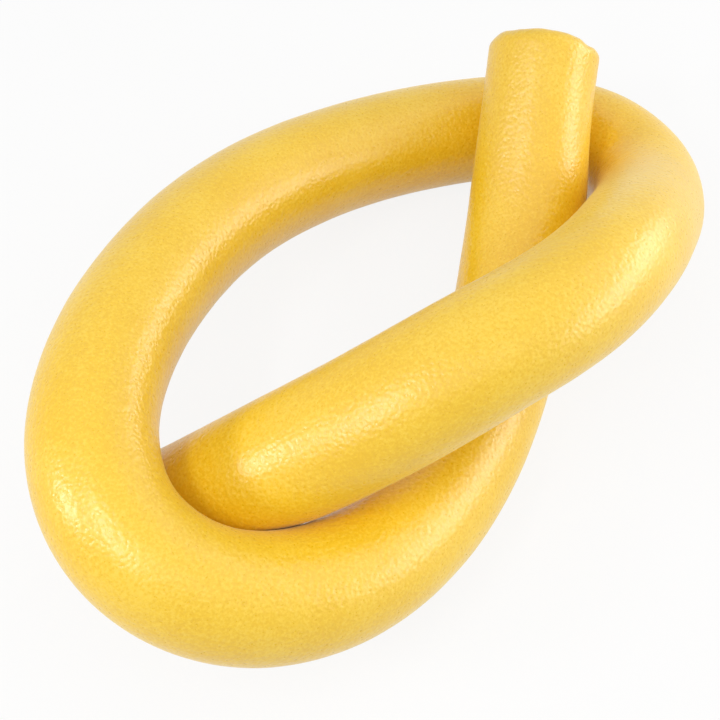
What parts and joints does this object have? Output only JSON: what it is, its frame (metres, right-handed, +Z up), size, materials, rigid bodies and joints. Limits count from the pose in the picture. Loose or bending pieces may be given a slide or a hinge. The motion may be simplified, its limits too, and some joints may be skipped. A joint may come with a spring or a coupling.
{
  "type": "knotted foam swimming noodle",
  "caption": "Long round rod of soft foam tied in one loose overhand knot and laid down, its free end resting on the loop.",
  "frame": {"origin": "on the surface the knot lies on, under the middle of its bounding box", "axes": "+Z up; +Y from the crossing at the front towards the raised free end, along the knot's longest side; +X to the right of someone looking along +Y"},
  "size_m": [0.3976, 0.431, 0.1766],
  "materials": {
    "foam": "yellow closed-cell foam with a smooth satin skin and a fine cell texture"
  },
  "bodies": {
    "knot": {"lower_run": "foam", "front_rise": "foam", "front_bend": "foam", "left_bend": "foam", "left_run": "foam", "back_run": "foam", "back_foot": "foam", "hook_base": "foam", "hook_rise": "foam", "hook_top": "foam", "crossing_run": "foam", "tucked_end": "foam"},
    "free_end_root": {"free_end_root": "foam"},
    "free_end": {"free_end": "foam"}
  },
  "joints": [
    {"name": "swing", "type": "hinge", "parent": "knot", "child": "free_end_root", "pos_m": [0.0606, -0.0147, 0.0354], "axis": [0.2004, -0.5011, 0.8419], "range_deg": [0, 18], "stiffness_Nm_per_rad": 3.5},
    {"name": "lift", "type": "hinge", "parent": "free_end_root", "child": "free_end", "pos_m": [0.0765, 0.0573, 0.0472], "axis": [0.9851, -0.172, 0], "range_deg": [0, 20], "stiffness_Nm_per_rad": 3.5}
  ]
}
